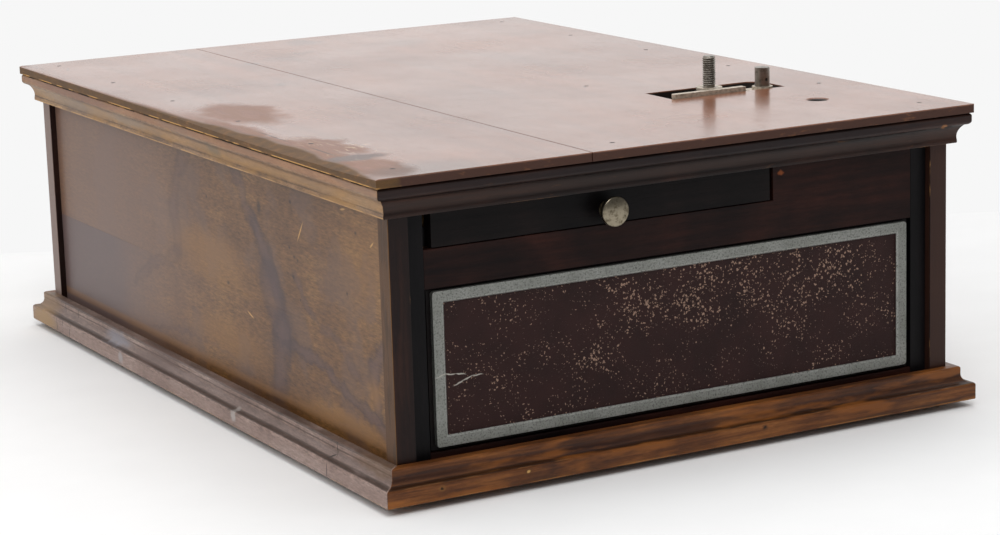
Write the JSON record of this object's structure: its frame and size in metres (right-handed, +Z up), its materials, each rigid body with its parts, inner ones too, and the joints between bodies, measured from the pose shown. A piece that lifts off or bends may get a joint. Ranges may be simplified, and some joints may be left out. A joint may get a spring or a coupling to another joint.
{
  "type": "ticket register",
  "caption": "Low wooden counter cabinet with a small upper drawer, a till behind a cast metal plate, and a lever with a stud in the top that locks the till.",
  "frame": {"origin": "middle of the footprint, on the counter", "axes": "+X to the right seen from the front, -Y out of the front, +Z up"},
  "size_m": [0.524, 0.731, 0.2715],
  "materials": {
    "mahogany": "worn gloss varnish",
    "dark_mahogany": "dark satin varnish",
    "secondary_wood": "bare",
    "cast_metal": "satin, pitted",
    "iron": "dull",
    "steel": "aged",
    "nickel": "tarnished nickel plate"
  },
  "bodies": {
    "case": {"post_front_left": "mahogany", "post_front_right": "mahogany", "post_rear_left": "mahogany", "post_rear_right": "mahogany", "left_side_upper_board": "mahogany", "left_side_lower_board": "mahogany", "right_side_upper_board": "mahogany", "right_side_lower_board": "mahogany", "back_panel": "mahogany", "bottom_board": "secondary_wood", "divider_shelf": "secondary_wood", "partition": "secondary_wood", "front_stile_left": "dark_mahogany", "front_stile_right": "dark_mahogany", "header_board": "dark_mahogany", "bottom_rail": "dark_mahogany", "top_board_left": "mahogany", "top_board_right": "mahogany", "top_battens": "secondary_wood", "nail_fillers": "secondary_wood", "cornice_front": "mahogany", "cornice_back": "mahogany", "cornice_left": "mahogany", "cornice_right": "mahogany", "base_front": "mahogany", "base_back": "mahogany", "base_left": "mahogany", "base_right": "mahogany", "base_glides": "iron", "till_runners": "secondary_wood", "upper_drawer_guide": "secondary_wood", "drawer_stops": "secondary_wood", "bearing_plate": "iron", "bearing_screws": "steel", "shelf_bush": "iron"},
    "upper_drawer": {"upper_drawer_front": "dark_mahogany", "upper_drawer_side_left": "secondary_wood", "upper_drawer_side_right": "secondary_wood", "upper_drawer_back": "secondary_wood", "upper_drawer_bottom": "secondary_wood", "knob": "nickel", "knob_screw": "steel"},
    "till": {"till_front": "dark_mahogany", "till_side_left": "secondary_wood", "till_side_right": "secondary_wood", "till_back": "secondary_wood", "till_bottom": "secondary_wood", "cast_plate": "cast_metal", "plate_screws": "steel", "coin_block": "secondary_wood", "bill_rails": "secondary_wood", "bill_dividers": "secondary_wood", "striker": "iron"},
    "lever": {"lever_arm": "nickel", "stud": "steel", "stud_collar": "nickel", "latch_shaft": "steel", "latch_dog": "iron", "dog_pin": "steel", "lever_spring": "steel"}
  },
  "joints": [
    {"name": "upper_drawer_slide", "type": "slide", "parent": "case", "child": "upper_drawer", "axis": [0, -1, 0], "range_m": [0, 0.3]},
    {"name": "till_slide", "type": "slide", "parent": "case", "child": "till", "axis": [0, -1, 0], "range_m": [0, 0.36]},
    {"name": "lever_turn", "type": "hinge", "parent": "case", "child": "lever", "pos_m": [0.184, -0.1845, 0.2], "axis": [0, 0, -1], "range_deg": [0, 12], "stiffness_Nm_per_rad": 0.3, "springref_deg": -11.46, "deforming": ["lever_spring"]}
  ]
}
